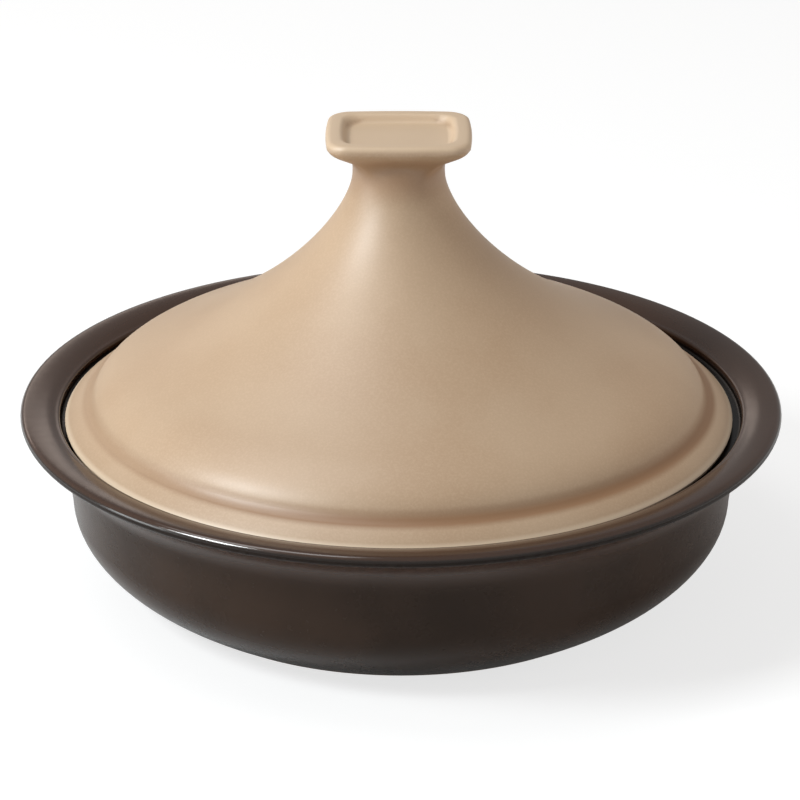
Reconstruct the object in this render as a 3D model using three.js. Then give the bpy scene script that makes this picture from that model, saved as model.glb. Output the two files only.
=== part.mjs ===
// A stoneware tagine in two pieces: a round cooking dish with a broad flange, and a
// trumpet-shaped lid whose rim drops into a stepped seat inside that flange.
// Millimetres, +Z up. The dish's axis is Z and it stands on z = 0.
import * as THREE from "three";
import { mergeVertices } from "three/addons/utils/BufferGeometryUtils.js";

// Dish: foot, wall and floor
const FOOT_RADIUS = 103.5; // outer edge of the flat foot ring
const FOOT_RING_WIDTH = 7;
const FOOT_RECESS = 2; // the middle of the base stands clear of the table
const FLOOR_THICKNESS = 7.5;
const WALL_THICKNESS = 8;
const WALL_LEAN = 2; // how far the upper wall leans out on its way up
const OUTER_ROUND = 36; // height over which the outside rounds in to the foot
const INNER_ROUND = 38; // the same on the inside, where the wall meets the floor

// Dish: flange and seat
const DISH_HEIGHT = 75; // table to the top of the lip
const FLANGE_RADIUS = 155;
const FLANGE_WIDTH = 16; // lip to the seat's wall
const FLANGE_RISE = 2.6; // the flange's crowned top climbs this much towards the lip
const LIP_THICKNESS = 4.6; // the lip is a full round
const FLARE_HEIGHT = 16.4; // the wall flares out to the lip over this height
const FLARE_LEAD = 5; // length of the flare that still runs along the wall
const FLARE_REACH = 7.2; // length of the flare that runs along under the lip
const FLARE_DROP = 1.2; // the underside falls by this much over that length
const SEAT_DEPTH = 4.2; // flange down to the ledge that carries the lid
const LEDGE_WIDTH = 10.1;
const EDGE_ROUND = 1.5; // eased edges and inner corners of the seat

// Lid: rim and groove
const LID_PLAY = 3.1; // free space round the rim in its seat
const LID_SHIFT_X = -0.9; // the lid rests a little to the left in that play
const LID_SHIFT_Y = -2.2; // and more to the front
const SEAT_GAP = 0.3; // lid's foot face to the ledge
const RIM_HEIGHT = 2.1; // widest line of the rim above its foot face
const RIM_FACE_WIDTH = 6.6; // flat ring under the rim, which stands on the ledge
const BAND_WIDTH = 7.7; // convex band between the edge and the groove
const BAND_HEIGHT = 8.2;
const BAND_FALL = 4.5; // the band drops by this much before it turns down
const GROOVE_WIDTH = 3.6;
const GROOVE_HEIGHT = 8.6; // corner of the groove
const GROOVE_LIP = 2.3; // the shoulder starts this far above it

// Lid: shoulder, cone and hollow
const SHOULDER_WIDTH = 20; // groove in to the foot of the cone
const SHOULDER_TURN = 3.2; // groove in to where the shoulder turns most
const CONE_FOOT_HEIGHT = 26.7;
const CONE_SLOPE = 24; // degrees above level at the foot of the cone
const CONE_REACH = 72; // the cone leaves its foot along that slope this far
const LID_WALL = 6.5;
const HOLLOW_END = 0.6; // part of the cone's curve that the hollow follows
const HOLLOW_CROWN = 0.45; // the hollow's top closes from this share of its radius

// Lid: neck and knob
const NECK_RADIUS = 18.4;
const NECK_HEIGHT = 104.6; // narrowest level
const NECK_REACH = 11.9; // pull of the narrow neck on the cone below it
const NECK_FLARE = 11.9; // and on the flare into the knob above it
const KNOB_HEIGHT = 122.4; // lid's foot face to the knob's top
const KNOB_WIDTH = 58.1; // along X
const KNOB_DEPTH = 47.8; // along Y
const KNOB_THICKNESS = 7.8; // the knob has its full oblong plan over this height
const KNOB_SQUARENESS = 4.9; // 2 is an ellipse, more is a squarer plan
const KNOB_TOP_ROUND = 2.5; // rounding of the knob's upper edge
const KNOB_SWELL = 5.9; // pull of the knob's upright side on the flare below it
const RECESS_BORDER = 5; // rim round the recess in the knob's top
const RECESS_DEPTH = 3.2;
const RECESS_SLOPE = 5; // width of the soft slope down to the recess's floor

const SLICES = 56; // facets round the axis
const FACET_LENGTH = 9; // about the length of a facet along a curve
const LEAST_FACETS = 4; // facets on the smallest curve
const MERGE_DISTANCE = 1e-4; // points of the seam and the axis closer than this become one

// Points of a drawn outline: straight stretches keep their ends only, and each curve is
// divided by its length, with twice the least number of facets where it turns both ways.
function outlinePoints(path) {
  const points = [];
  for (const curve of path.curves) {
    const turns = curve.isCubicBezierCurve ? 2 : 1;
    const facets = Math.max(LEAST_FACETS * turns, Math.ceil(curve.getLength() / FACET_LENGTH));
    const steps = curve.isLineCurve ? 1 : facets;
    points.push(...curve.getPoints(steps).slice(0, -1));
  }
  points.push(path.getPoint(1));
  return points;
}

// Turned body of an outline that starts and ends on the axis, stood upright on +Z.
function turned(path) {
  const body = new THREE.LatheGeometry(outlinePoints(path), SLICES);
  body.deleteAttribute("normal");
  body.deleteAttribute("uv");
  body.rotateX(Math.PI / 2);
  return mergeVertices(body, MERGE_DISTANCE);
}

const lipRadius = LIP_THICKNESS / 2;
const lipCentre = new THREE.Vector2(FLANGE_RADIUS - lipRadius, DISH_HEIGHT - lipRadius);
const seatRadius = FLANGE_RADIUS - FLANGE_WIDTH;
const seatTop = DISH_HEIGHT - FLANGE_RISE;
const ledgeHeight = seatTop - SEAT_DEPTH;

function dishGeometry() {
  const bowlRadius = seatRadius - LEDGE_WIDTH;
  const wallTop = lipCentre.y - lipRadius - FLARE_HEIGHT;
  const wallTopRadius = bowlRadius + WALL_THICKNESS;
  const wallFootRadius = wallTopRadius - WALL_LEAN;
  const lean = WALL_LEAN / (wallTop - OUTER_ROUND);
  const floor = FOOT_RECESS + FLOOR_THICKNESS;
  const roundTop = floor + INNER_ROUND;
  const innerFootRadius = bowlRadius - lean * (ledgeHeight - roundTop);
  const ringRadius = FOOT_RADIUS - FOOT_RING_WIDTH;
  const seatEdge = seatRadius + EDGE_ROUND;
  const crownRadius = (seatEdge + lipCentre.x) / 2;

  const path = new THREE.Path();
  // underside: recess, foot ring, round and wall
  path.moveTo(0, FOOT_RECESS);
  path.lineTo(ringRadius - FOOT_RECESS, FOOT_RECESS);
  path.lineTo(ringRadius, 0);
  path.lineTo(FOOT_RADIUS, 0);
  path.quadraticCurveTo(wallFootRadius, OUTER_ROUND / 2, wallFootRadius, OUTER_ROUND);
  path.lineTo(wallTopRadius, wallTop);
  // flare, lip and flange
  path.bezierCurveTo(
    wallTopRadius + lean * FLARE_LEAD,
    wallTop + FLARE_LEAD,
    lipCentre.x - FLARE_REACH,
    lipCentre.y - lipRadius - FLARE_DROP,
    lipCentre.x,
    lipCentre.y - lipRadius,
  );
  path.absarc(lipCentre.x, lipCentre.y, lipRadius, -Math.PI / 2, 0);
  path.absarc(lipCentre.x, lipCentre.y, lipRadius, 0, Math.PI / 2);
  path.quadraticCurveTo(crownRadius, DISH_HEIGHT, seatEdge, seatTop);
  path.quadraticCurveTo(seatRadius, seatTop, seatRadius, seatTop - EDGE_ROUND);
  // seat wall and ledge
  path.lineTo(seatRadius, ledgeHeight + EDGE_ROUND);
  path.quadraticCurveTo(seatRadius, ledgeHeight, seatRadius - EDGE_ROUND, ledgeHeight);
  path.lineTo(bowlRadius + EDGE_ROUND, ledgeHeight);
  path.quadraticCurveTo(bowlRadius, ledgeHeight, bowlRadius, ledgeHeight - EDGE_ROUND);
  // inside of the bowl
  path.lineTo(innerFootRadius, roundTop);
  path.quadraticCurveTo(innerFootRadius, floor, innerFootRadius - INNER_ROUND, floor);
  path.lineTo(0, floor);
  return turned(path);
}

// The lid's outline is drawn from its foot face up, along the knob's wider side.
function lidGeometry() {
  const rimRadius = seatRadius - LID_PLAY;
  const bandRadius = rimRadius - BAND_WIDTH;
  const shoulderRadius = bandRadius - GROOVE_WIDTH;
  const coneRadius = shoulderRadius - SHOULDER_WIDTH;
  const turnRadius = shoulderRadius - SHOULDER_TURN;
  const slope = THREE.MathUtils.degToRad(CONE_SLOPE);
  const turnHeight = CONE_FOOT_HEIGHT - (turnRadius - coneRadius) * Math.tan(slope);
  const faceInner = rimRadius - RIM_HEIGHT - RIM_FACE_WIDTH;

  const cone = new THREE.CubicBezierCurve(
    new THREE.Vector2(coneRadius, CONE_FOOT_HEIGHT),
    new THREE.Vector2(
      coneRadius - CONE_REACH * Math.cos(slope),
      CONE_FOOT_HEIGHT + CONE_REACH * Math.sin(slope),
    ),
    new THREE.Vector2(NECK_RADIUS, NECK_HEIGHT - NECK_REACH),
    new THREE.Vector2(NECK_RADIUS, NECK_HEIGHT),
  );
  // A point of the hollow lies one wall's thickness square to the cone's outside.
  const hollowPoint = (t) => {
    const along = cone.getTangent(t);
    return cone.getPoint(t).add(new THREE.Vector2(-along.y, along.x).multiplyScalar(LID_WALL));
  };
  const hollowFoot = hollowPoint(0);
  const hollowTop = hollowPoint(HOLLOW_END);
  const topRise = cone.getTangent(HOLLOW_END);
  const crownRadius = hollowTop.x * HOLLOW_CROWN;
  const crownHeight = hollowTop.y + ((hollowTop.x - crownRadius) * topRise.y) / -topRise.x;
  const innerTurn = hollowFoot.clone();
  innerTurn.x += turnRadius - coneRadius;
  innerTurn.y -= (turnRadius - coneRadius) * Math.tan(slope);
  const hollowFacets = Math.ceil(cone.getLength() / FACET_LENGTH);

  const knobRadius = KNOB_WIDTH / 2;
  const knobFoot = KNOB_HEIGHT - KNOB_THICKNESS;
  const recessRadius = knobRadius - RECESS_BORDER;
  const recessFloor = KNOB_HEIGHT - RECESS_DEPTH;
  const knobEdge = KNOB_HEIGHT - KNOB_TOP_ROUND;
  const floorRadius = recessRadius - RECESS_SLOPE;
  const slopeMiddle = (recessRadius + floorRadius) / 2;

  const path = new THREE.Path();
  // inside: crown, hollow cone, shoulder and foot face
  path.moveTo(0, crownHeight);
  path.quadraticCurveTo(crownRadius, crownHeight, hollowTop.x, hollowTop.y);
  for (let step = hollowFacets - 1; step >= 0; step -= 1) {
    const point = hollowPoint((HOLLOW_END * step) / hollowFacets);
    path.lineTo(point.x, point.y);
  }
  path.quadraticCurveTo(innerTurn.x, innerTurn.y, faceInner, 0);
  path.lineTo(rimRadius - RIM_HEIGHT, 0);
  // outside: rim, band, groove, shoulder and cone
  path.quadraticCurveTo(rimRadius, 0, rimRadius, RIM_HEIGHT);
  path.quadraticCurveTo(rimRadius - RIM_HEIGHT, BAND_FALL, bandRadius, BAND_HEIGHT);
  path.quadraticCurveTo(
    bandRadius - GROOVE_WIDTH / 2,
    GROOVE_HEIGHT,
    shoulderRadius,
    GROOVE_HEIGHT + GROOVE_LIP,
  );
  path.quadraticCurveTo(turnRadius, turnHeight, coneRadius, CONE_FOOT_HEIGHT);
  path.bezierCurveTo(cone.v1.x, cone.v1.y, cone.v2.x, cone.v2.y, cone.v3.x, cone.v3.y);
  // knob: flare, upper edge, border and recess
  path.bezierCurveTo(
    NECK_RADIUS,
    NECK_HEIGHT + NECK_FLARE,
    knobRadius,
    knobEdge - KNOB_SWELL,
    knobRadius,
    knobEdge,
  );
  path.quadraticCurveTo(knobRadius, KNOB_HEIGHT, knobRadius - KNOB_TOP_ROUND, KNOB_HEIGHT);
  path.lineTo(recessRadius, KNOB_HEIGHT);
  path.bezierCurveTo(slopeMiddle, KNOB_HEIGHT, slopeMiddle, recessFloor, floorRadius, recessFloor);
  path.lineTo(0, recessFloor);
  return pressKnob(turned(path), knobFoot);
}

// Above the neck the round sections are pressed into rounded oblongs, wider than deep.
function pressKnob(body, knobFoot) {
  const position = body.getAttribute("position");
  const point = new THREE.Vector3();
  for (let i = 0; i < position.count; i += 1) {
    point.fromBufferAttribute(position, i);
    const share = THREE.MathUtils.smoothstep(point.z, NECK_HEIGHT, knobFoot);
    const power = 2 / THREE.MathUtils.lerp(2, KNOB_SQUARENESS, share);
    const depth = THREE.MathUtils.lerp(1, KNOB_DEPTH / KNOB_WIDTH, share);
    const radius = Math.hypot(point.x, point.y);
    const cosine = radius > 0 ? point.x / radius : 0;
    const sine = radius > 0 ? point.y / radius : 0;
    point.x = radius * Math.sign(cosine) * Math.abs(cosine) ** power;
    point.y = radius * depth * Math.sign(sine) * Math.abs(sine) ** power;
    position.setXYZ(i, point.x, point.y, point.z);
  }
  return body;
}

const darkGlaze = new THREE.MeshStandardMaterial({
  color: 0x41362f,
  roughness: 0.38,
  metalness: 0,
});
const sandGlaze = new THREE.MeshStandardMaterial({
  color: 0xbea389,
  roughness: 0.72,
  metalness: 0,
});

const dish = new THREE.Mesh(dishGeometry(), darkGlaze);
dish.name = "dish";

const lid = new THREE.Mesh(lidGeometry(), sandGlaze);
lid.name = "lid";
lid.position.set(LID_SHIFT_X, LID_SHIFT_Y, ledgeHeight + SEAT_GAP);

const tagine = new THREE.Group();
tagine.add(dish, lid);

export default tagine;
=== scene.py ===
import math

import bpy
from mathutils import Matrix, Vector


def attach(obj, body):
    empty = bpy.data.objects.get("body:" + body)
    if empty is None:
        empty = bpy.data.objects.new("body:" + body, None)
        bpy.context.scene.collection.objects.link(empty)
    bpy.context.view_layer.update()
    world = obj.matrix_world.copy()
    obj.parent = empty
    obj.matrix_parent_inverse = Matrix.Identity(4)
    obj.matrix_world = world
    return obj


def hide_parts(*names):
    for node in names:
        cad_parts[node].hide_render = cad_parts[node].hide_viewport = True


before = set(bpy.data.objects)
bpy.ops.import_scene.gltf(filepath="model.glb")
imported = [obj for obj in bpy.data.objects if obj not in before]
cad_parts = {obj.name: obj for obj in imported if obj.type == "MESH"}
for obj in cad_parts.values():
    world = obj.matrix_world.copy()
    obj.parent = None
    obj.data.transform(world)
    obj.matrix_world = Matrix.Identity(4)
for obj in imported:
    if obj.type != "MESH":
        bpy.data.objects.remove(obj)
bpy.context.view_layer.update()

bpy.context.scene.view_settings.view_transform = "Standard"


# The dish: one piece of stoneware, pressed and turned on the wheel, with a foot ring
# under it, a broad flange round its mouth and a stepped seat inside the flange.
# A satin dark brown glaze covers all but the foot ring, which is wiped bare for the kiln.
FOOT_RADIUS = 0.1035
FOOT_RING_WIDTH = 0.007
FOOT_RECESS = 0.002
FOOT_EDGE = 0.0009
FLOOR_THICKNESS = 0.0075
WALL_THICKNESS = 0.008
WALL_LEAN = 0.002
OUTER_ROUND = 0.036
INNER_ROUND = 0.038
DISH_HEIGHT = 0.075
FLANGE_RADIUS = 0.155
FLANGE_WIDTH = 0.016
FLANGE_RISE = 0.0026
LIP_THICKNESS = 0.0046
LIP_STEPS = 12
FLARE_HEIGHT = 0.0164
FLARE_LEAD = 0.005
FLARE_REACH = 0.0072
FLARE_DROP = 0.0012
SEAT_DEPTH = 0.0042
LEDGE_WIDTH = 0.0101
SEAT_EDGE = 0.0015
WHEEL_STEPS = 144
WELD_DISTANCE = 0.00001
SHARP_ANGLE = math.radians(40)


def bend(outline, *pulls, steps=8):
    """Carries an outline on from its last point, pulled by each point and ending on the last."""
    polygon = [Vector(outline[-1]), *map(Vector, pulls)]
    for step in range(1, steps + 1):
        points = polygon
        while len(points) > 1:
            points = [a.lerp(b, step / steps) for a, b in zip(points, points[1:])]
        outline.append(tuple(points[0]))


def turn(name, outline):
    """Clay turned round the Z axis from its half outline; the mesh stays open for more work."""
    bpy.ops.object.select_all(action="DESELECT")
    bpy.ops.mesh.primitive_plane_add(size=0.01)
    bpy.context.object.name = name
    bpy.ops.object.mode_set(mode="EDIT")
    bpy.ops.mesh.select_mode(type="VERT")
    bpy.ops.mesh.select_all(action="SELECT")
    bpy.ops.mesh.merge(type="CENTER")
    here = (0, 0)
    for there in outline:
        move = (there[0] - here[0], 0, there[1] - here[1])
        if here == (0, 0):
            bpy.ops.transform.translate(value=move)
        else:
            bpy.ops.mesh.extrude_region_move(TRANSFORM_OT_translate={"value": move})
        here = there
    bpy.ops.mesh.select_all(action="SELECT")
    bpy.ops.mesh.spin(steps=WHEEL_STEPS, angle=math.tau, center=(0, 0, 0), axis=(0, 0, 1))
    weld()
    return bpy.context.object


def weld():
    """Joins the points of the open mesh that lie on each other and turns its faces outwards."""
    bpy.ops.mesh.select_all(action="SELECT")
    bpy.ops.mesh.remove_doubles(threshold=WELD_DISTANCE)
    bpy.ops.mesh.normals_make_consistent(inside=False)


def smooth(piece):
    """Closes edit mode and shades the piece smooth except at its sharp edges."""
    bpy.ops.object.mode_set(mode="OBJECT")
    bpy.ops.object.select_all(action="DESELECT")
    piece.select_set(True)
    bpy.context.view_layer.objects.active = piece
    bpy.ops.object.shade_smooth_by_angle(angle=SHARP_ANGLE)


lip_radius = LIP_THICKNESS / 2
lip_x = FLANGE_RADIUS - lip_radius
lip_z = DISH_HEIGHT - lip_radius
seat_radius = FLANGE_RADIUS - FLANGE_WIDTH
seat_top = DISH_HEIGHT - FLANGE_RISE
crown_x = (seat_radius + SEAT_EDGE + lip_x) / 2
ledge = seat_top - SEAT_DEPTH
bowl_radius = seat_radius - LEDGE_WIDTH
wall_top = lip_z - lip_radius - FLARE_HEIGHT
wall_radius = bowl_radius + WALL_THICKNESS
wall_foot = wall_radius - WALL_LEAN
lean = WALL_LEAN / (wall_top - OUTER_ROUND)
floor_top = FOOT_RECESS + FLOOR_THICKNESS
round_top = floor_top + INNER_ROUND
inner_foot = bowl_radius - lean * (ledge - round_top)
ring_inner = FOOT_RADIUS - FOOT_RING_WIDTH
ring_slope = ring_inner - FOOT_RECESS

outline = [(0, FOOT_RECESS), (ring_inner / 2, FOOT_RECESS)]
outline.append((ring_slope - FOOT_EDGE, FOOT_RECESS))
bend(
    outline,
    (ring_slope, FOOT_RECESS),
    (ring_inner - FOOT_RECESS / 2, FOOT_RECESS / 2),
    steps=4,
)
bend(outline, (ring_inner, 0), (ring_inner + FOOT_EDGE, 0), steps=4)
outline.append((FOOT_RADIUS - FOOT_EDGE, 0))
bend(outline, (FOOT_RADIUS, 0), (FOOT_RADIUS + FOOT_EDGE, FOOT_EDGE), steps=4)
bend(outline, (wall_foot, OUTER_ROUND / 2), (wall_foot, OUTER_ROUND), steps=20)
outline.append((wall_radius, wall_top))
bend(
    outline,
    (wall_radius + lean * FLARE_LEAD, wall_top + FLARE_LEAD),
    (lip_x - FLARE_REACH, lip_z - lip_radius - FLARE_DROP),
    (lip_x, lip_z - lip_radius),
    steps=16,
)
for step in range(1, LIP_STEPS + 1):
    angle = math.pi * (step / LIP_STEPS - 0.5)
    outline.append((lip_x + lip_radius * math.cos(angle), lip_z + lip_radius * math.sin(angle)))
bend(outline, (crown_x, DISH_HEIGHT), (seat_radius + SEAT_EDGE, seat_top), steps=12)
bend(outline, (seat_radius, seat_top), (seat_radius, seat_top - SEAT_EDGE), steps=6)
outline.append((seat_radius, ledge + SEAT_EDGE))
bend(outline, (seat_radius, ledge), (seat_radius - SEAT_EDGE, ledge), steps=6)
outline.append((bowl_radius + SEAT_EDGE, ledge))
bend(outline, (bowl_radius, ledge), (bowl_radius, ledge - SEAT_EDGE), steps=6)
outline.append((inner_foot, round_top))
bend(outline, (inner_foot, floor_top), (inner_foot - INNER_ROUND, floor_top), steps=20)
outline += [(inner_foot / 3, floor_top), (0, floor_top)]

dish = turn("glazed_dish", outline)
smooth(dish)


class Shade:
    """A shader socket that works in Python sums, each of which adds its Math node."""

    def __init__(self, tree, socket=None):
        self.tree = tree
        self.socket = socket

    def node(self, kind, settings, sockets, output=0):
        made = self.tree.nodes.new(kind)
        for name, value in settings.items():
            setattr(made, name, value)
        for name, value in sockets.items():
            if isinstance(value, Shade):
                self.tree.links.new(value.socket, made.inputs[name])
            else:
                made.inputs[name].default_value = value
        return Shade(self.tree, made.outputs[output] if made.outputs else None)

    def sum(self, operation, first, second):
        return self.node("ShaderNodeMath", {"operation": operation}, {0: first, 1: second})

    def __add__(self, other):
        return self.sum("ADD", self, other)

    __radd__ = __add__

    def __sub__(self, other):
        return self.sum("SUBTRACT", self, other)

    def __rsub__(self, other):
        return self.sum("SUBTRACT", other, self)

    def __mul__(self, other):
        return self.sum("MULTIPLY", self, other)

    __rmul__ = __mul__

    def __pow__(self, power):
        return self.sum("POWER", self, power)

    def within(self, low, high):
        """0 below low, 1 above high, with a soft change between; low above high turns it round."""
        return self.node(
            "ShaderNodeMapRange",
            {"interpolation_type": "SMOOTHSTEP"},
            {"Value": self, "From Min": low, "From Max": high},
        )

    def grain(self, per_metre, detail=2.0, rough=0.5):
        """Noise over the surface with that many grains to the metre."""
        return self.node(
            "ShaderNodeTexNoise",
            {},
            {"Vector": self, "Scale": per_metre, "Detail": detail, "Roughness": rough},
        )

    def blend(self, under, over):
        """The colour under where this mask is 0 and the colour over where it is 1.

        A Mix node takes its colours on sockets 6 and 7 and gives the result on output 2.
        """
        sockets = {0: self, 6: under, 7: over}
        return self.node("ShaderNodeMix", {"data_type": "RGBA"}, sockets, output=2)

    def part(self, axis):
        return self.node("ShaderNodeSeparateXYZ", {}, {0: self}, output=axis)


def colour(*screen):
    """A colour given as 0 to 255 on a screen, as linear values by the sRGB rule."""
    linear = []
    for value in screen:
        share = value / 255
        linear.append(share / 12.92 if value < 11 else ((share + 0.055) / 1.055) ** 2.4)
    return (*linear, 1)


def new_material(name):
    """An empty material and the Object coordinates of what wears it."""
    material = bpy.data.materials.new(name)
    material.use_nodes = True
    material.node_tree.nodes.clear()
    start = Shade(material.node_tree)
    return material, start.node("ShaderNodeTexCoord", {}, {}, output="Object")


DARK_BROWN = colour(57, 43, 34)
DEEP_BROWN = colour(48, 36, 28)
RED_BROWN = colour(66, 41, 27)
THIN_BROWN = colour(80, 59, 46)
# Painted shade: a near-black brown laid in the seat under the lid, under the lip and towards the
# foot.
SHADE_BROWN = colour(16, 11, 8)
BARE_CLAY = colour(158, 124, 98)
RED_SHARE = 0.55
SHADE_SHARE = 0.95
FOOT_SHADE_SHARE = 0.7
SPECK_SHARE = 0.25
LIP_THIN_SHARE = 0.1
PATCHES_PER_METRE = 26
PATCH_SPAN = (0.35, 0.7)
PEEL_PER_METRE = 240
PEEL_STRENGTH = 0.12
PEEL_DEPTH = 0.0002
SPECKS_PER_METRE = 1500
SPECK_SPAN = (0.62, 0.78)
SATIN_ROUGHNESS = 0.15
PEEL_ROUGHNESS = 0.06
PATCH_ROUGHNESS = 0.03
MATT_ROUGHNESS = 0.08
LIP_POLISH = 0.08
CLAY_ROUGHNESS = 0.3
FLANGE_IOR = 1.43
WALL_IOR = 1.22
LIP_IOR = 1.68

# Each span is the height or the radius at which a mask starts and the one at which it is full.
lip_edge_span = (FLANGE_RADIUS - 0.0024, FLANGE_RADIUS - 0.0006)
lip_top_span = (lip_z, lip_z + 0.001)
under_lip_top_span = (lip_z + 0.0017, lip_z + 0.0007)
under_lip_foot_span = (lip_z - 0.003, lip_z - 0.0012)
under_lip_side_span = (lip_x - 0.003, lip_x - 0.001)
seat_side_span = (seat_radius + 0.002, seat_radius + 0.001)
seat_top_span = (ledge + 0.0024, ledge + 0.001)
seat_foot_span = (ledge - 0.004, ledge - 0.001)
wall_span = (wall_top + 0.012, wall_top - 0.004)
foot_shade_span = (0.022, 0.004)
bare_span = (0.0012, 0.0006)

dark_glaze, place = new_material("dark_glaze")
height = place.part("Z")
radius = (place.part("X") ** 2 + place.part("Y") ** 2) ** 0.5
patches = place.grain(PATCHES_PER_METRE, detail=3).within(*PATCH_SPAN)
peel = place.grain(PEEL_PER_METRE)
specks = place.grain(SPECKS_PER_METRE, detail=3).within(*SPECK_SPAN)
lip_edge = radius.within(*lip_edge_span)
lip_shine = lip_edge * height.within(*lip_top_span)
# Painted shade on the lower half of the lip's rounding.
under_lip_shade = height.within(*under_lip_top_span) * height.within(*under_lip_foot_span)
under_lip_shade = under_lip_shade * radius.within(*under_lip_side_span)
# Painted shade on the seat's lower wall and ledge, which lie in the lid's shadow.
seat_shade = radius.within(*seat_side_span) * height.within(*seat_top_span)
seat_shade = seat_shade * height.within(*seat_foot_span)
wall = height.within(*wall_span)
# Painted shade: the wall grows darker towards the foot.
foot_shade = height.within(*foot_shade_span)
bare = height.within(*bare_span)
# Painted shade from the seat and the lip's underside; it also makes the glaze there matt.
painted_shade = place.sum("MAXIMUM", seat_shade, under_lip_shade)
matt = place.sum("MAXIMUM", wall, painted_shade)

body = patches.blend(DARK_BROWN, DEEP_BROWN)
body = ((1 - matt) * RED_SHARE).blend(body, RED_BROWN)
body = (SHADE_SHARE * painted_shade + FOOT_SHADE_SHARE * foot_shade).blend(body, SHADE_BROWN)
body = (specks * SPECK_SHARE).blend(body, THIN_BROWN)
body = (lip_edge * LIP_THIN_SHARE).blend(body, THIN_BROWN)
body = bare.blend(body, BARE_CLAY)
roughness = SATIN_ROUGHNESS + PEEL_ROUGHNESS * peel + PATCH_ROUGHNESS * patches
roughness = roughness + MATT_ROUGHNESS * matt - LIP_POLISH * lip_shine + CLAY_ROUGHNESS * bare
relief = place.node(
    "ShaderNodeBump",
    {},
    {"Strength": PEEL_STRENGTH, "Distance": PEEL_DEPTH, "Height": peel},
)
flange_coat, wall_coat, lip_coat = [
    place.node(
        "ShaderNodeBsdfPrincipled",
        {},
        {"Base Color": body, "Roughness": roughness, "Normal": relief, "IOR": ior},
    )
    for ior in (FLANGE_IOR, WALL_IOR, LIP_IOR)
]
surface = place.node("ShaderNodeMixShader", {}, {0: matt, 1: flange_coat, 2: wall_coat})
surface = place.node("ShaderNodeMixShader", {}, {0: lip_shine, 1: surface, 2: lip_coat})
place.node("ShaderNodeOutputMaterial", {}, {"Surface": surface})
dish.data.materials.append(dark_glaze)

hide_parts("dish")
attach(dish, "dish")


# The lid: a hollow stoneware cone turned like a trumpet, with a grooved rim that drops
# into the dish's seat and a solid oblong knob that is pressed on to the neck before firing.
# A matt sand-coloured glaze covers it, with painted shade in the groove and under the knob, and
# painted light on its rim edge and on the knob's top.
LID_PLAY = 0.0031
LID_SHIFT = (-0.0009, -0.0022)
SEAT_GAP = 0.0003
RIM_HEIGHT = 0.0021
RIM_FACE_WIDTH = 0.0066
BAND_WIDTH = 0.0077
BAND_HEIGHT = 0.0082
BAND_FALL = 0.0045
GROOVE_WIDTH = 0.0036
GROOVE_HEIGHT = 0.0086
GROOVE_LIP = 0.0023
SHOULDER_WIDTH = 0.02
SHOULDER_TURN = 0.0032
CONE_FOOT_HEIGHT = 0.0267
CONE_SLOPE = math.radians(24)
CONE_REACH = 0.072
CONE_STEPS = 36
LID_WALL = 0.0065
HOLLOW_SHARE = 0.6
CROWN_SHARE = 0.45
NECK_RADIUS = 0.0184
NECK_HEIGHT = 0.1046
NECK_REACH = 0.0119
NECK_FLARE = 0.0119
KNOB_HEIGHT = 0.1224
KNOB_WIDTH = 0.0581
KNOB_DEPTH = 0.0478
KNOB_CORNER = 0.0074
KNOB_BOW = 0.001
KNOB_TOP_ROUND = 0.0025
KNOB_SWELL = 0.0059
FLARE_STEPS = 20
RECESS_BORDER = 0.005
RECESS_DEPTH = 0.0032
RECESS_SLOPE = 0.005
CORNER_STEPS = 14
WIDE_SIDE_CUTS = 25
NARROW_SIDE_CUTS = 17
SMOOTH_BELOW_NECK = 0.002
SMOOTH_BELOW_EDGE = 0.001

rim_radius = seat_radius - LID_PLAY
band_radius = rim_radius - BAND_WIDTH
shoulder_radius = band_radius - GROOVE_WIDTH
cone_radius = shoulder_radius - SHOULDER_WIDTH
turn_radius = shoulder_radius - SHOULDER_TURN
turn_out = turn_radius - cone_radius
turn_drop = turn_out * math.tan(CONE_SLOPE)
face_inner = rim_radius - RIM_HEIGHT - RIM_FACE_WIDTH
reach_x = cone_radius - CONE_REACH * math.cos(CONE_SLOPE)
reach_z = CONE_FOOT_HEIGHT + CONE_REACH * math.sin(CONE_SLOPE)

cone = [(cone_radius, CONE_FOOT_HEIGHT)]
bend(
    cone,
    (reach_x, reach_z),
    (NECK_RADIUS, NECK_HEIGHT - NECK_REACH),
    (NECK_RADIUS, NECK_HEIGHT),
    steps=CONE_STEPS,
)
hollow = []
for lower, upper in zip(cone[: int(CONE_STEPS * HOLLOW_SHARE)], cone[1:]):
    along = (Vector(upper) - Vector(lower)).normalized()
    hollow.append(Vector(lower) + LID_WALL * Vector((-along.y, along.x)))
crown_radius = hollow[-1].x * CROWN_SHARE
crown = hollow[-1].y - (hollow[-1].x - crown_radius) * along.y / along.x

outline = [(0, crown)]
bend(outline, (crown_radius, crown), hollow[-1], steps=8)
outline += [tuple(point) for point in reversed(hollow[:-1])]
bend(outline, (hollow[0].x + turn_out, hollow[0].y - turn_drop), (face_inner, 0), steps=12)
outline.append((rim_radius - RIM_HEIGHT, 0))
bend(outline, (rim_radius, 0), (rim_radius, RIM_HEIGHT), steps=6)
bend(outline, (rim_radius - RIM_HEIGHT, BAND_FALL), (band_radius, BAND_HEIGHT), steps=10)
groove_end = (shoulder_radius, GROOVE_HEIGHT + GROOVE_LIP)
bend(outline, (band_radius - GROOVE_WIDTH / 2, GROOVE_HEIGHT), groove_end, steps=8)
bend(outline, (turn_radius, CONE_FOOT_HEIGHT - turn_drop), cone[0], steps=12)
outline += cone[1:]

lid = turn("glazed_lid", outline)

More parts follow.
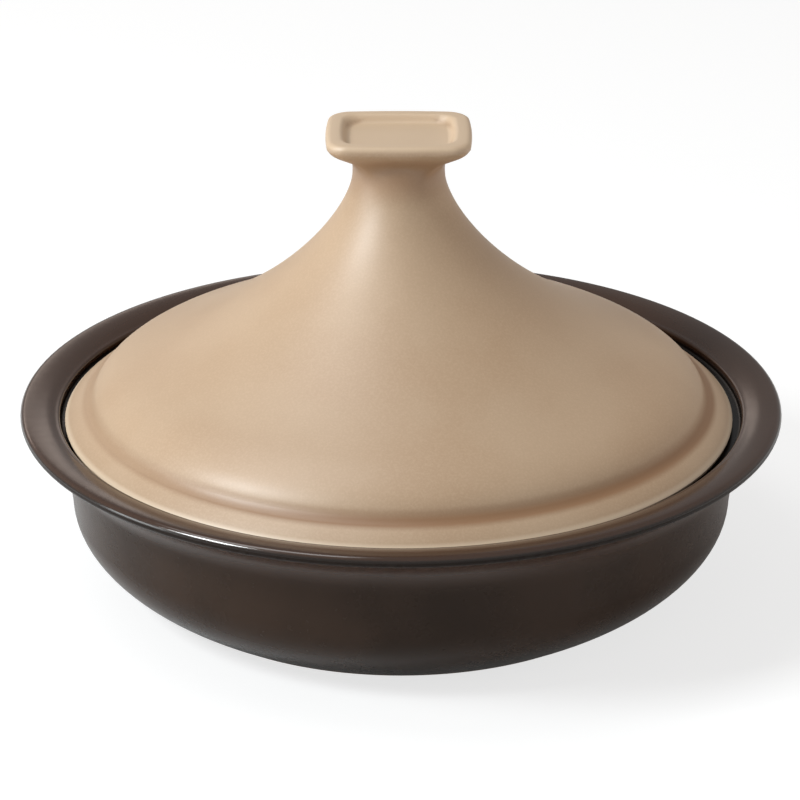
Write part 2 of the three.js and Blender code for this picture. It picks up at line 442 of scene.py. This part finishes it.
knob_radius = KNOB_WIDTH / 2
knob_edge = KNOB_HEIGHT - KNOB_TOP_ROUND
recess_radius = knob_radius - RECESS_BORDER
recess_floor = KNOB_HEIGHT - RECESS_DEPTH
floor_radius = recess_radius - RECESS_SLOPE
slope_middle = (recess_radius + floor_radius) / 2
half = (KNOB_WIDTH / 2 - KNOB_BOW, KNOB_DEPTH / 2 - KNOB_BOW)

flare = [cone[-1]]
bend(
    flare,
    (NECK_RADIUS, NECK_HEIGHT + NECK_FLARE),
    (knob_radius, knob_edge - KNOB_SWELL),
    (knob_radius, knob_edge),
    steps=FLARE_STEPS,
)
knob = flare[FLARE_STEPS // 2 :]
knob_foot = knob[0][1]


def select_where(test):
    """Selects the vertices of the open mesh whose place passes the test, and no others."""
    bpy.ops.mesh.select_all(action="DESELECT")
    bpy.ops.object.mode_set(mode="OBJECT")
    for vertex in bpy.context.object.data.vertices:
        vertex.select = test(vertex.co)
    bpy.ops.object.mode_set(mode="EDIT")


def near(value, wanted):
    return abs(value - wanted) < WELD_DISTANCE


def on_side(co, axis):
    """True on the two straight sides of the knob's lowest ring that face along the axis."""
    return near(co.z, knob_foot) and near(abs(co[axis]), half[axis])


bpy.ops.mesh.primitive_plane_add(size=1, location=(0, 0, knob_foot))
bpy.ops.transform.resize(value=(2 * half[0], 2 * half[1], 1), center_override=(0, 0, knob_foot))
bpy.ops.mesh.bevel(offset=KNOB_CORNER, segments=CORNER_STEPS, affect="VERTICES")
bpy.ops.mesh.delete(type="ONLY_FACE")
for axis, cuts in ((1, WIDE_SIDE_CUTS), (0, NARROW_SIDE_CUTS)):
    select_where(lambda co: on_side(co, axis))
    bpy.ops.mesh.subdivide(number_cuts=cuts)
for axis in (0, 1):
    select_where(lambda co: on_side(co, axis) and near(co[1 - axis], 0))
    bowed = [1, 1, 1]
    bowed[axis] = 1 + KNOB_BOW / half[axis]
    bpy.ops.transform.resize(
        value=bowed,
        center_override=(0, 0, knob_foot),
        use_proportional_edit=True,
        use_proportional_connected=True,
        proportional_edit_falloff="INVERSE_SQUARE",
        proportional_size=half[1 - axis] - KNOB_CORNER / 2,
    )

bend(knob, (knob_radius, KNOB_HEIGHT), (knob_radius - KNOB_TOP_ROUND, KNOB_HEIGHT), steps=8)
knob.append((recess_radius, KNOB_HEIGHT))
bend(
    knob,
    (slope_middle, KNOB_HEIGHT),
    (slope_middle, recess_floor),
    (floor_radius, recess_floor),
    steps=14,
)
knob.append((floor_radius / 2, recess_floor))
select_where(lambda co: near(co.z, knob_foot))
here = (knob_radius, knob_foot)
for there in knob:
    if there is not knob[0]:
        rise = (0, 0, there[1] - here[1])
        bpy.ops.mesh.extrude_region_move(TRANSFORM_OT_translate={"value": rise})
    share = there[0] / here[0]
    bpy.ops.transform.resize(value=(share, share, 1), center_override=(0, 0, there[1]))
    here = there
bpy.ops.mesh.extrude_region_move(TRANSFORM_OT_translate={"value": (0, 0, 0)})
bpy.ops.mesh.merge(type="CENTER")

select_where(lambda co: near(co.z, knob_foot) or near(co.z, NECK_HEIGHT))
bpy.ops.mesh.bridge_edge_loops(number_cuts=10, interpolation="SURFACE", smoothness=1.0)
smooth_from = NECK_HEIGHT - SMOOTH_BELOW_NECK
smooth_to = knob_edge - SMOOTH_BELOW_EDGE
select_where(lambda co: smooth_from < co.z < smooth_to)
bpy.ops.mesh.vertices_smooth(factor=0.5, repeat=12)
weld()
lid_foot = ledge + SEAT_GAP
bpy.ops.transform.translate(value=(*LID_SHIFT, lid_foot))
smooth(lid)

SAND = colour(189, 161, 132)
WARM_SAND = colour(183, 153, 123)
# SHADE_SAND is painted shade, laid in the groove and on the neck under the knob.
SHADE_SAND = colour(138, 97, 60)
# PALE_GRAIN_AND_LIT_SAND lightens the fine grains and, as painted light, the knob's top.
PALE_GRAIN_AND_LIT_SAND = colour(216, 190, 160)
# RIM_HIGHLIGHT_SAND is a painted highlight for the rim's rounded edge.
RIM_HIGHLIGHT_SAND = colour(223, 200, 172)
RUST_FLECK = colour(140, 108, 82)
GRAIN_SHARE = 0.18
FLECK_SHARE = 0.12
GROOVE_SHADE_LEAST_SHARE = 0.32
GROOVE_SHADE_MORE_SHARE = 0.52
NECK_SHADE_SHARE = 0.55
RIM_HIGHLIGHT_SHARE = 0.9
KNOB_TOP_LIGHT_SHARE = 0.7
CLOUDS_PER_METRE = 18
CLOUD_SPAN = (0.35, 0.68)
GRAINS_PER_METRE = 1100
GRAIN_SPAN = (0.4, 0.7)
FLECKS_PER_METRE = 900
FLECK_SPAN = (0.68, 0.76)
WAVES_PER_METRE = 160
WAVE_SHARE = 0.5
SAND_STRENGTH = 0.2
SAND_DEPTH = 0.0002
SAND_ROUGHNESS = 0.41
GRAIN_ROUGHNESS = 0.14
CLOUD_POLISH = 0.05
SAND_IOR = 1.7

# The spans again, with heights from the lid's foot and radii from the lid's own axis.
# The painted shade in the groove is weakest on the lid's left, where the main light falls, and its
# side span runs along X.
groove_inner_span = (shoulder_radius - 0.0018, shoulder_radius + 0.0012)
groove_outer_span = (band_radius + 0.002, band_radius - 0.0008)
groove_height_span = (0.004, 0.007)
groove_side_span = (-0.125, -0.01)
rim_span = (rim_radius - 0.0022, rim_radius - 0.0004)
neck_foot_span = (NECK_HEIGHT - 0.0116, NECK_HEIGHT + 0.0024)
neck_top_span = (knob_edge, knob_foot - 0.002)
border_span = (knob_edge - 0.0002, KNOB_HEIGHT - 0.001)
recess_side_span = (0.0238, 0.0212)
recess_height_span = (recess_floor - 0.002, recess_floor - 0.001)

sand_glaze, place = new_material("sand_glaze")
across = place.part("X")
height = place.part("Z") - lid_foot
radius = ((across - LID_SHIFT[0]) ** 2 + (place.part("Y") - LID_SHIFT[1]) ** 2) ** 0.5
clouds = place.grain(CLOUDS_PER_METRE, detail=3).within(*CLOUD_SPAN)
grains = place.grain(GRAINS_PER_METRE, detail=3, rough=0.6)
flecks = place.grain(FLECKS_PER_METRE).within(*FLECK_SPAN)
waves = place.grain(WAVES_PER_METRE)
# Painted shade in the groove, weakest on the lid's left towards the main light.
groove_shade = radius.within(*groove_inner_span) * radius.within(*groove_outer_span)
groove_shade = groove_shade * height.within(*groove_height_span)
groove_shade = groove_shade * (GROOVE_SHADE_LEAST_SHARE + GROOVE_SHADE_MORE_SHARE * across.within(*groove_side_span))
# Painted highlight along the rim's outer edge.
rim_highlight = radius.within(*rim_span)
# Painted shade on the neck just under the knob, where the knob shades it.
neck_shade = height.within(*neck_foot_span) * height.within(*neck_top_span)
border = height.within(*border_span)
recess = radius.within(*recess_side_span) * height.within(*recess_height_span)
# Painted light: the knob's top border and recess are made paler.
knob_top_light = place.sum("MAXIMUM", border, recess)

body = clouds.blend(SAND, WARM_SAND)
body = (grains.within(*GRAIN_SPAN) * GRAIN_SHARE).blend(body, PALE_GRAIN_AND_LIT_SAND)
body = (flecks * FLECK_SHARE).blend(body, RUST_FLECK)
body = groove_shade.blend(body, SHADE_SAND)
body = (neck_shade * NECK_SHADE_SHARE).blend(body, SHADE_SAND)
body = (rim_highlight * RIM_HIGHLIGHT_SHARE).blend(body, RIM_HIGHLIGHT_SAND)
body = (knob_top_light * KNOB_TOP_LIGHT_SHARE).blend(body, PALE_GRAIN_AND_LIT_SAND)
roughness = SAND_ROUGHNESS + GRAIN_ROUGHNESS * grains - CLOUD_POLISH * clouds
relief = place.node(
    "ShaderNodeBump",
    {},
    {"Strength": SAND_STRENGTH, "Distance": SAND_DEPTH, "Height": grains + WAVE_SHARE * waves},
)
surface = place.node(
    "ShaderNodeBsdfPrincipled",
    {},
    {"Base Color": body, "Roughness": roughness, "Normal": relief, "IOR": SAND_IOR},
)
place.node("ShaderNodeOutputMaterial", {}, {"Surface": surface})
lid.data.materials.append(sand_glaze)

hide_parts("lid")
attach(lid, "lid")


# The table: a plain white round top, wide enough to fill the picture. It looks as white
# as the studio behind it, still takes the dish's shadow, and shows more softly in the glaze.
TABLE_RADIUS = 4
TABLE_EDGE = 0.02
TABLE_WHITE = colour(246, 246, 246)
FULL_WHITE = (1, 1, 1, 1)
TABLE_GLOW = 1.2
SELF_WHITE = 0.6
GLOSS_WHITE = 0.1

bpy.ops.object.select_all(action="DESELECT")
bpy.ops.mesh.primitive_circle_add(vertices=96, radius=TABLE_RADIUS, fill_type="NGON")
table = bpy.context.object
table.name = "table"
bpy.ops.object.mode_set(mode="EDIT")
bpy.ops.mesh.inset(thickness=TABLE_EDGE)
bpy.ops.object.mode_set(mode="OBJECT")


def seen(start, in_gloss):
    """1 for a ray from the camera or through glass, and the given share for a reflected one."""
    camera, gloss, glass = [
        start.node("ShaderNodeLightPath", {}, {}, output=f"Is {ray} Ray")
        for ray in ("Camera", "Glossy", "Transmission")
    ]
    return start.sum("MINIMUM", camera + in_gloss * gloss + glass, 1.0)


table_white, place = new_material("table_white")
painted = place.node("ShaderNodeBsdfDiffuse", {}, {"Color": TABLE_WHITE})
bright = place.node("ShaderNodeEmission", {}, {"Color": FULL_WHITE, "Strength": TABLE_GLOW})
glow = SELF_WHITE * seen(place, GLOSS_WHITE)
surface = place.node("ShaderNodeMixShader", {}, {0: glow, 1: painted, 2: bright})
place.node("ShaderNodeOutputMaterial", {}, {"Surface": surface})
table.data.materials.append(table_white)


# The studio: white to the camera and darker in the glaze. The main soft box is high on the
# left, weaker ones low on the left, overhead and low on the right lift the shade, and a warm
# strip behind the dish lies in the flange's shine.
ROOM_LIGHT = 0.24
ROOM_WHITE = 0.16
LAMP_AIM = Vector((0, 0, 0.1))
COOL_LIGHT = (0.94, 0.985, 1)
PLAIN_LIGHT = (1, 1, 1)
WARM_LIGHT = (1, 0.94, 0.86)
STRIP_LIGHT = (1, 0.84, 0.74)

room = bpy.data.worlds.new("studio")
room.use_nodes = True
room.node_tree.nodes.clear()
bpy.context.scene.world = room
start = Shade(room.node_tree)
soft = start.node("ShaderNodeBackground", {}, {"Color": FULL_WHITE, "Strength": ROOM_LIGHT})
white = start.node("ShaderNodeBackground", {}, {"Color": FULL_WHITE, "Strength": 1.0})
both = start.node("ShaderNodeMixShader", {}, {0: seen(start, ROOM_WHITE), 1: soft, 2: white})
start.node("ShaderNodeOutputWorld", {}, {"Surface": both})


def soft_box(name, place, sides, power, tint, mirrored=True):
    """A soft box of that width and height, aimed at the lid, that may show in shiny surfaces."""
    bpy.ops.object.light_add(type="AREA", location=place)
    box = bpy.context.object
    box.name = name
    box.rotation_euler = (LAMP_AIM - Vector(place)).to_track_quat("-Z", "Y").to_euler()
    box.data.shape = "RECTANGLE"
    box.data.size, box.data.size_y = sides
    box.data.energy = power
    box.data.color = tint
    box.visible_camera = False
    box.visible_glossy = mirrored


soft_box("key_light", (-1.03, -0.54, 1.05), sides=(0.46, 0.42), power=16.2, tint=COOL_LIGHT)
soft_box("left_light", (-1.4, -0.3, 0.3), sides=(0.5, 0.5), power=3.6, tint=COOL_LIGHT)
soft_box("top_light", (-0.55, 0.1, 1.6), sides=(0.8, 0.8), power=6.6, tint=PLAIN_LIGHT)
soft_box("right_light", (1.4, 0.15, 0.3), (0.9, 0.5), power=6.2, tint=WARM_LIGHT, mirrored=False)
soft_box("back_light", (-0.45, 1.2, 0.52), sides=(1, 0.2), power=0.76, tint=STRIP_LIGHT)


# The camera: level, in front of the dish and above it, as in the photograph, with a long
# lens and the axis of the dish a hair to the right of the middle.
DISTANCE = 1.5
ELEVATION = math.radians(22.92)
AIM = (-0.0004, 0, 0.0734)
FOCAL_PIXELS = 3668
PICTURE_PIXELS = 800
SENSOR_WIDTH = 36

bpy.ops.object.camera_add(
    location=(AIM[0], -DISTANCE * math.cos(ELEVATION), AIM[2] + DISTANCE * math.sin(ELEVATION)),
    rotation=(math.pi / 2 - ELEVATION, 0, 0),
)
camera = bpy.context.object
camera.data.sensor_width = SENSOR_WIDTH
camera.data.lens = SENSOR_WIDTH * FOCAL_PIXELS / PICTURE_PIXELS
bpy.context.scene.camera = camera
